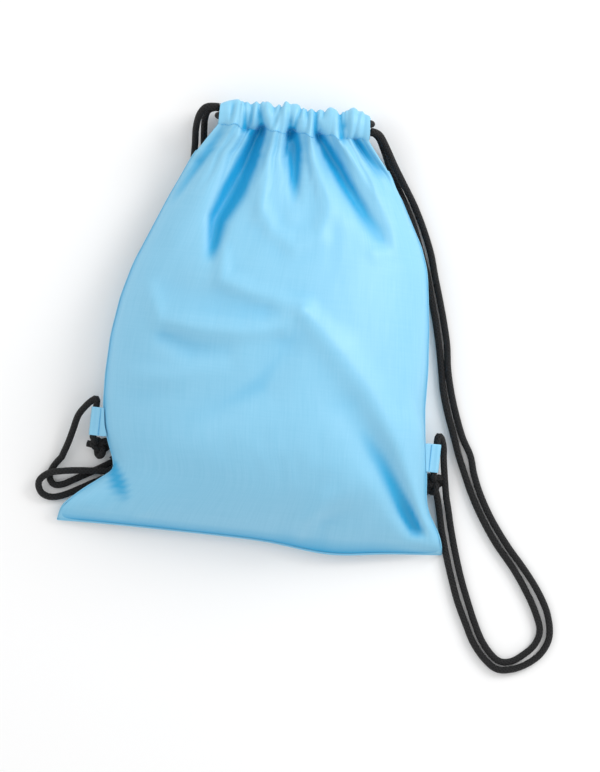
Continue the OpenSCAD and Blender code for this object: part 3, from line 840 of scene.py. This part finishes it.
# %% Turn and knot the strap ends
knot_size = 2.9 * mm
knot_steps = 96
reach = tab_web + 3.3 * mm
tunnel = {s: tab_point(s, reach, 0, 0) / mm for s in (-1, 1)}
knot_y, knot_z = tunnel[1].y - 12.5 - 9.4, 9.6
turns, knots, tails = {}, {}, {}
for side, name, shift in ((-1, "left", 7), (1, "right", 1)):
    t = tunnel[side]
    top = (t.x + 0.8, t.y + 19.5, t.z - 0.4) if side > 0 else (t.x - 0.6, t.y + 19.5, t.z + 0.3)
    route = tab_turns[side] + [top, (t.x, t.y + 16.5, t.z), (t.x, t.y + 13.5, t.z), (t.x, t.y, t.z),
                               (t.x, t.y - 12, t.z), (t.x, t.y - 14, t.z),
                               (t.x + (2.6 if side < 0 else 0.6), knot_y + 4, knot_z + 4)]
    strand = strands["right_back_lower" if side > 0 else "left_front_lower"][1]
    turns[side] = lay_cord("tab_cord_" + name, route, before=strand[-2])
    middle = Vector((t.x + shift, knot_y, knot_z)) * mm
    ring = []
    for k in range(knot_steps + 1):
        w = 2 * math.pi * k / knot_steps
        ring.append(middle + knot_size * Vector((math.sin(w) + 1.75 * math.sin(2 * w) * 0.9,
                                                 math.cos(w) - 1.75 * math.cos(2 * w),
                                                 -0.85 * math.sin(3 * w))))
    knots[side] = tube("knot_" + name, ring, closed_ends=False)
    way = math.radians(236 if side > 0 else 172)
    length = (14 if side > 0 else 12) * mm
    line = [middle + Vector((math.cos(way) * length * k / 6, math.sin(way) * length * k / 6,
                             -1.5 * mm * (k / 6) ** 2)) for k in range(7)]
    tails[side] = tube("cord_tail_" + name, smooth_line(line))
print("turn", round(line_length(turns[1][1]), 3), "knot", [round(v / mm, 1) for v in knots[1].dimensions])

# %% [markdown]
# The look of the cloth
# The bag is a plain-woven coated nylon: a satin sky blue that is never quite even, because some warp threads
# are thicker than others and draw faint lines along the bag. The weave is drawn in the panel's own flat
# coordinates, so it follows every fold.
# Hollows, folds, dents and creases are also coloured a deeper blue by how deep they lie: painted shade.

# %% Paint the cloth
def group(name, outputs):
    tree = bpy.data.node_groups.new(name, "ShaderNodeTree")
    for label, kind in outputs:
        tree.interface.new_socket(label, in_out="OUTPUT", socket_type=kind)
    return tree, tree.nodes.new("NodeGroupOutput")


def node(tree, kind, **settings):
    made = tree.nodes.new(kind)
    for key, value in settings.items():
        if key.startswith("in_"):
            made.inputs[int(key[3:])].default_value = value
        else:
            setattr(made, key, value)
    return made


def stretched_noise(tree, source, scale, detail, seed):
    place = node(tree, "ShaderNodeMapping", in_1=(seed, seed * 0.7, 0), in_3=scale)
    tree.links.new(source, place.inputs[0])
    cloud = node(tree, "ShaderNodeTexNoise", in_2=1.0, in_3=detail)
    tree.links.new(place.outputs[0], cloud.inputs[0])
    return cloud.outputs["Fac"]


def math_node(tree, operation, a, b=None):
    made = node(tree, "ShaderNodeMath", operation=operation)
    for k, value in enumerate((a, b)):
        if value is None:
            continue
        if isinstance(value, float):
            made.inputs[k].default_value = value
        else:
            tree.links.new(value, made.inputs[k])
    return made.outputs[0]


def weave_group():
    tree, out = group("woven_nylon", [("Shade", "NodeSocketFloat"), ("Height", "NodeSocketFloat"),
                                      ("Gloss", "NodeSocketFloat")])
    uv = node(tree, "ShaderNodeUVMap", uv_map="UVMap").outputs[0]
    parts = node(tree, "ShaderNodeSeparateXYZ")
    tree.links.new(uv, parts.inputs[0])
    warp = math_node(tree, "SINE", math_node(tree, "MULTIPLY", parts.outputs[0], 2 * math.pi / 0.0006))
    weft = math_node(tree, "SINE", math_node(tree, "MULTIPLY", parts.outputs[1], 2 * math.pi / 0.0006))
    weave = math_node(tree, "MULTIPLY", warp, weft)
    slub = stretched_noise(tree, uv, (620, 26, 1), 3.0, 1.3)
    pick = stretched_noise(tree, uv, (20, 540, 1), 2.0, 4.1)
    patch = stretched_noise(tree, uv, (9, 7, 1), 3.0, 7.7)
    lines = math_node(tree, "ADD", slub, math_node(tree, "MULTIPLY", pick, 0.5))
    tree.links.new(math_node(tree, "ADD", math_node(tree, "MULTIPLY", lines, 0.6),
                             math_node(tree, "MULTIPLY", patch, 0.25)), out.inputs[0])
    tree.links.new(math_node(tree, "ADD", math_node(tree, "MULTIPLY", weave, 0.35), lines), out.inputs[1])
    tree.links.new(patch, out.inputs[2])
    return tree


weave = weave_group()


def cloth_material(name, dark, light, painted_shade_blue, roughness):
    made = bpy.data.materials.new(name)
    made.use_nodes = True
    tree = made.node_tree
    shader = tree.nodes["Principled BSDF"]
    pattern = node(tree, "ShaderNodeGroup", node_tree=weave)
    ramp = node(tree, "ShaderNodeValToRGB")
    ramp.color_ramp.elements[0].position, ramp.color_ramp.elements[0].color = 0.35, (*dark, 1)
    ramp.color_ramp.elements[1].position, ramp.color_ramp.elements[1].color = 0.75, (*light, 1)
    tree.links.new(pattern.outputs[0], ramp.inputs[0])
    # Painted shade: the hollow depth stored on the cloth mixes the deep blue into the base colour.
    depth = node(tree, "ShaderNodeAttribute", attribute_name="painted_shade")
    shade = node(tree, "ShaderNodeMix", data_type="RGBA", in_7=(*painted_shade_blue, 1))
    tree.links.new(depth.outputs["Fac"], shade.inputs[0])
    tree.links.new(ramp.outputs[0], shade.inputs[6])
    tree.links.new(shade.outputs[2], shader.inputs["Base Color"])
    spread = node(tree, "ShaderNodeMapRange", in_1=0.3, in_2=0.7, in_3=roughness - 0.04, in_4=roughness + 0.05)
    tree.links.new(pattern.outputs[2], spread.inputs[0])
    tree.links.new(spread.outputs[0], shader.inputs["Roughness"])
    bump = node(tree, "ShaderNodeBump", in_0=0.25, in_1=0.00006)
    tree.links.new(pattern.outputs[1], bump.inputs["Height"])
    tree.links.new(bump.outputs[0], shader.inputs["Normal"])
    shader.inputs["Specular IOR Level"].default_value = 0.7
    shader.inputs["Sheen Weight"].default_value = 0.25
    shader.inputs["Sheen Roughness"].default_value = 0.4
    shader.inputs["Sheen Tint"].default_value = (0.7, 0.9, 1, 1)
    return made


# The third colour of each is the painted shade of hollows, folds and creases.
nylon = cloth_material("sky_blue_nylon", (0.20, 0.53, 0.75), (0.24, 0.57, 0.79), (0.0, 0.34, 0.64), 0.5)
edge_nylon = cloth_material("seam_nylon", (0.16, 0.49, 0.71), (0.20, 0.53, 0.75), (0.0, 0.32, 0.62), 0.5)

# %% [markdown]
# The look of the cord and the thread
# A round braid has yarns that cross over each other in two directions, which shows as rows of small
# chevrons. Two sets of slanting waves, drawn round and along the cord, stand for the two directions.

# %% Paint the cord and the thread
def braid_group():
    tree, out = group("braided_cord", [("Shade", "NodeSocketFloat"), ("Height", "NodeSocketFloat")])
    uv = node(tree, "ShaderNodeUVMap", uv_map="UVMap").outputs[0]
    parts = node(tree, "ShaderNodeSeparateXYZ")
    tree.links.new(uv, parts.inputs[0])
    round_part = math_node(tree, "MULTIPLY", parts.outputs[0], 2 * math.pi * 6)
    along_part = math_node(tree, "MULTIPLY", parts.outputs[1], 2 * math.pi / 0.0032)
    one = math_node(tree, "SINE", math_node(tree, "ADD", round_part, along_part))
    two = math_node(tree, "SINE", math_node(tree, "SUBTRACT", round_part, along_part))
    yarn = math_node(tree, "MAXIMUM", one, two)
    fuzz = stretched_noise(tree, uv, (40, 2600, 1), 3.0, 2.2)
    height = math_node(tree, "ADD", yarn, math_node(tree, "MULTIPLY", fuzz, 0.6))
    # Painted shade: the colour follows the height, so the grooves between the yarns are darker; the fuzz adds the
    # yarns' own uneven tone.
    tree.links.new(math_node(tree, "MULTIPLY", math_node(tree, "ADD", height, 0.6), 0.42), out.inputs[0])
    tree.links.new(height, out.inputs[1])
    return tree


braid = braid_group()
cord_black = bpy.data.materials.new("black_braid")
cord_black.use_nodes = True
tree = cord_black.node_tree
shader = tree.nodes["Principled BSDF"]
pattern = node(tree, "ShaderNodeGroup", node_tree=braid)
# The dark end of this ramp is the painted shade of the braid's grooves.
ramp = node(tree, "ShaderNodeValToRGB")
ramp.color_ramp.elements[0].position, ramp.color_ramp.elements[0].color = 0.1, (0.002, 0.002, 0.002, 1)
ramp.color_ramp.elements[1].position, ramp.color_ramp.elements[1].color = 0.9, (0.016, 0.016, 0.017, 1)
tree.links.new(pattern.outputs[0], ramp.inputs[0])
tree.links.new(ramp.outputs[0], shader.inputs["Base Color"])
bump = node(tree, "ShaderNodeBump", in_0=0.8, in_1=0.0005)
tree.links.new(pattern.outputs[1], bump.inputs["Height"])
tree.links.new(bump.outputs[0], shader.inputs["Normal"])
shader.inputs["Roughness"].default_value = 0.72
shader.inputs["Specular IOR Level"].default_value = 0.3
shader.inputs["Sheen Weight"].default_value = 0.04

thread_blue = bpy.data.materials.new("blue_thread")
thread_blue.use_nodes = True
tree = thread_blue.node_tree
shader = tree.nodes["Principled BSDF"]
where = node(tree, "ShaderNodeTexCoord").outputs["Object"]
# Painted shade: the twist is drawn in colour alone, as darker bands for the grooves between the plies.
twist = node(tree, "ShaderNodeTexWave", in_1=2200.0, in_2=1.5)
tree.links.new(where, twist.inputs[0])
ramp = node(tree, "ShaderNodeValToRGB")
ramp.color_ramp.elements[0].color, ramp.color_ramp.elements[1].color = (0.08, 0.38, 0.66, 1), (0.16, 0.54, 0.84, 1)
tree.links.new(twist.outputs["Fac"], ramp.inputs[0])
tree.links.new(ramp.outputs[0], shader.inputs["Base Color"])
shader.inputs["Roughness"].default_value = 0.5

for piece in (front_cloth, back_cloth, left_tab, right_tab):
    piece.data.materials.append(nylon)
for piece in (left_seam, right_seam, bottom_hem):
    piece.data.materials.append(edge_nylon)
for piece in [front_thread, back_thread] + tacks:
    piece.data.materials.append(thread_blue)
cord_pieces = [p for p, line in list(strands.values()) + front_runs + back_runs + list(turns.values())]
for piece in cord_pieces + list(knots.values()) + list(tails.values()):
    piece.data.materials.append(cord_black)
print("materials:", len(bpy.data.materials))

# %% [markdown]
# What is tied to what
# The stitching and the cords of the front channel are tied to the front rim's body; the back panel, its stitching,
# the seams and the upper back strands to the bag's body; each tab's bartack, turn of cord, knot and tails to the
# tab's body. The front panel, the upper front strands, the back channel's cords, the tabs and the lower strands
# only have their placing baked into their points.

# %% Tie pieces to their bodies, and bake the placing of the rest
tab_body = {-1: "left_tab", 1: "right_tab"}
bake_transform(front_cloth)
for name in ("right_front_upper", "left_front_upper"):
    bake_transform(strands[name][0])
for piece, line in back_runs:
    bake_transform(piece)
for piece in (front_thread, front_runs[0][0], front_runs[1][0]):
    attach(piece, "front_rim")
for piece in (back_cloth, back_thread, left_seam, right_seam, bottom_hem,
              strands["right_back_upper"][0], strands["left_back_upper"][0]):
    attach(piece, "bag")
for side, word, tab, tack in ((-1, "left", left_tab, tacks[0]), (1, "right", right_tab, tacks[1])):
    for half in ("front", "back"):
        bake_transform(strands[f"{word}_{half}_lower"][0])
    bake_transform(tab)
    for piece in (tack, turns[side][0], knots[side], tails[side]):
        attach(piece, tab_body[side])

# %% Hide the CAD nodes that the new pieces are drawn for
for word, cloth, thread, runs in (("front", front_cloth, front_thread, front_runs),
                                  ("back", back_cloth, back_thread, back_runs)):
    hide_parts(word + "_panel", word + "_channel")
    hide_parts(word + "_channel_stitching")
    for hand, (run, line) in zip(("right", "left"), runs):
        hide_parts(f"{hand}_drawcord_{word}_run")
for seam, node_name in ((left_seam, "left_side_seam"), (right_seam, "right_side_seam"), (bottom_hem, "bottom_seam")):
    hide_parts(node_name)
for side, word, tab, tack in ((-1, "left", left_tab, tacks[0]), (1, "right", right_tab, tacks[1])):
    for half in ("front", "back"):
        for part in ("upper", "lower"):
            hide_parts(f"{word}_strap_{half}_strand")
    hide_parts(word + "_loop_tab")
    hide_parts(word + "_tab_bartack")
    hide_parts(word + "_tab_cord_turn")
    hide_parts(word + "_knot")
    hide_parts(word + "_cord_tails")

for name, (piece, line) in strands.items():
    side = 1 if name.startswith("right") else -1

# %% [markdown]
# Floor and light
# The bag lies on a plain pale floor under a big soft light from the upper right, with pale surroundings, so its
# shadow stays faint and its folds still show.

# %% Floor and light
bm = bmesh.new()
bmesh.ops.create_grid(bm, x_segments=1, y_segments=1, size=4)
floor = link_mesh("floor", bm)
floor.location.z = -0.0004
pale = bpy.data.materials.new("pale_floor")
pale.use_nodes = True
pale.node_tree.nodes["Principled BSDF"].inputs["Base Color"].default_value = (0.93, 0.93, 0.93, 1)
pale.node_tree.nodes["Principled BSDF"].inputs["Roughness"].default_value = 0.9
floor.data.materials.append(pale)
scene = bpy.context.scene
scene.view_settings.view_transform = "Standard"
world = bpy.data.worlds.new("studio")
scene.world = world
world.use_nodes = True
world.node_tree.nodes["Background"].inputs[0].default_value = (1, 1, 1, 1)
world.node_tree.nodes["Background"].inputs[1].default_value = 0.85


def soft_light(name, at, size, power):
    data = bpy.data.lights.new(name, "AREA")
    data.shape, data.size, data.energy = "SQUARE", size, power
    light = bpy.data.objects.new(name, data)
    scene.collection.objects.link(light)
    light.location = at
    light.rotation_euler = (Vector((0, 0, 0)) - light.location).to_track_quat("-Z", "Y").to_euler()
    return light


soft_light("key", (1.2, 0.9, 1.0), 0.8, 15)
soft_light("fill", (-1.4, 0.6, 1.6), 1.4, 5)
